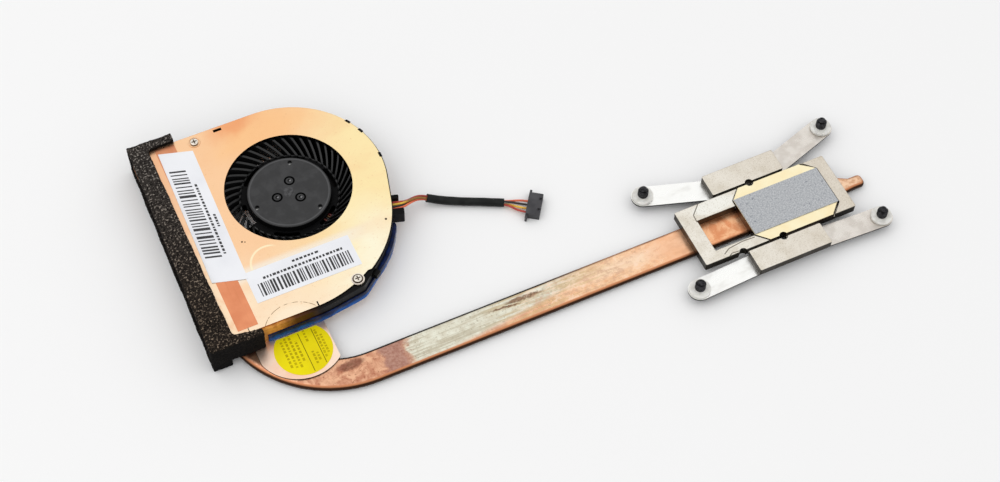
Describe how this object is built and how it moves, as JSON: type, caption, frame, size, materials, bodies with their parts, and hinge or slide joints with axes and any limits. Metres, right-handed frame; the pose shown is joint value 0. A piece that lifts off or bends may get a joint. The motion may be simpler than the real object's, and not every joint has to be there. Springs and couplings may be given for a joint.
{
  "type": "laptop cooling fan heatsink",
  "caption": "Laptop cooler: a flat blower and fin stack joined by a pressed copper heat pipe to a sprung contact plate with captive screws and a short fan lead.",
  "frame": {"origin": "centre of the thermal pad's outer face, which meets the processor", "axes": "+Z out of the contact face, +X along the straight run of the heat pipe away from the blower"},
  "size_m": [0.214, 0.1204, 0.0125],
  "materials": {
    "pipe_copper": "tarnished pressed copper",
    "cover_copper": "brushed copper-coloured sheet",
    "plate_copper": "machined copper",
    "fin_metal": "thin stamped fins",
    "frame_nickel": "satin nickel-plated casting",
    "spring_steel": "bright spring steel",
    "screw_nickel": "nickel-plated screws",
    "screw_black": "black oxide screws",
    "nylon_white": "milky nylon",
    "fan_black": "satin black moulding",
    "hub_grey": "satin dark grey moulding",
    "foam_black": "open-cell foam",
    "label_paper": "white label stock",
    "sticker_yellow": "yellow label stock",
    "tape_copper": "thin copper-coloured tape",
    "film_blue": "glossy blue film",
    "pad_grey": "soft grey thermal pad",
    "bearing_bronze": "oil-filled bronze",
    "motor_steel": "stamped motor steel",
    "magnet_dark": "bonded magnet",
    "coil_copper": "enamelled winding wire",
    "board_green": "coated circuit board",
    "wire_red": "dark red insulation",
    "wire_yellow": "yellow insulation",
    "wire_black": "black insulation",
    "wire_orange": "orange insulation",
    "sleeve_black": "shrink sleeve",
    "plug_grey": "dark grey connector plastic",
    "contact_tin": "tin-plated contacts"
  },
  "bodies": {
    "heatsink": {"heat_pipe": "pipe_copper", "fin_stack": "fin_metal", "base_plate": "plate_copper", "fan_housing": "fan_black", "fan_cover": "cover_copper", "cover_screws": "screw_nickel", "seam_tape": "tape_copper", "long_label": "label_paper", "short_label": "label_paper", "round_sticker": "sticker_yellow", "foam_gasket": "foam_black", "blue_film": "film_blue", "bearing_tube": "fan_black", "bearing_bush": "bearing_bronze", "thrust_disc": "nylon_white", "motor_board": "board_green", "stator_core": "motor_steel", "stator_coils": "coil_copper", "contact_plate": "plate_copper", "thermal_pad": "pad_grey", "mount_frame": "frame_nickel", "upper_spring": "spring_steel", "lower_spring": "spring_steel", "wire_sleeve": "sleeve_black", "connector_housing": "plug_grey", "connector_contacts": "contact_tin", "lead_red": "wire_red", "wire_red": "wire_red", "lead_yellow": "wire_yellow", "wire_yellow": "wire_yellow", "lead_black": "wire_black", "wire_black": "wire_black", "lead_orange": "wire_orange", "wire_orange": "wire_orange"},
    "rotor": {"impeller": "hub_grey", "rotor_yoke": "motor_steel", "rotor_magnet": "magnet_dark", "rotor_shaft": "motor_steel"},
    "screw_1": {"captive_screw_1": "screw_black", "screw_washer_1": "nylon_white"},
    "screw_2": {"captive_screw_2": "screw_black", "screw_washer_2": "nylon_white"},
    "screw_3": {"captive_screw_3": "screw_black", "screw_washer_3": "nylon_white"},
    "screw_4": {"captive_screw_4": "screw_black", "screw_washer_4": "nylon_white"}
  },
  "joints": [
    {"name": "fan_spin", "type": "hinge", "parent": "heatsink", "child": "rotor", "pos_m": [-0.141, 0.067, 0], "axis": [0, 0, 1], "continuous": true},
    {"name": "screw_1_turn", "type": "hinge", "parent": "heatsink", "child": "screw_1", "pos_m": [-0.0394, 0.0217, 0], "axis": [0, 0, 1], "continuous": true},
    {"name": "screw_2_turn", "type": "hinge", "parent": "heatsink", "child": "screw_2", "pos_m": [0.0256, 0.0217, 0], "axis": [0, 0, 1], "continuous": true},
    {"name": "screw_3_turn", "type": "hinge", "parent": "heatsink", "child": "screw_3", "pos_m": [-0.0394, -0.0163, 0], "axis": [0, 0, 1], "continuous": true},
    {"name": "screw_4_turn", "type": "hinge", "parent": "heatsink", "child": "screw_4", "pos_m": [0.0256, -0.0163, 0], "axis": [0, 0, 1], "continuous": true}
  ]
}
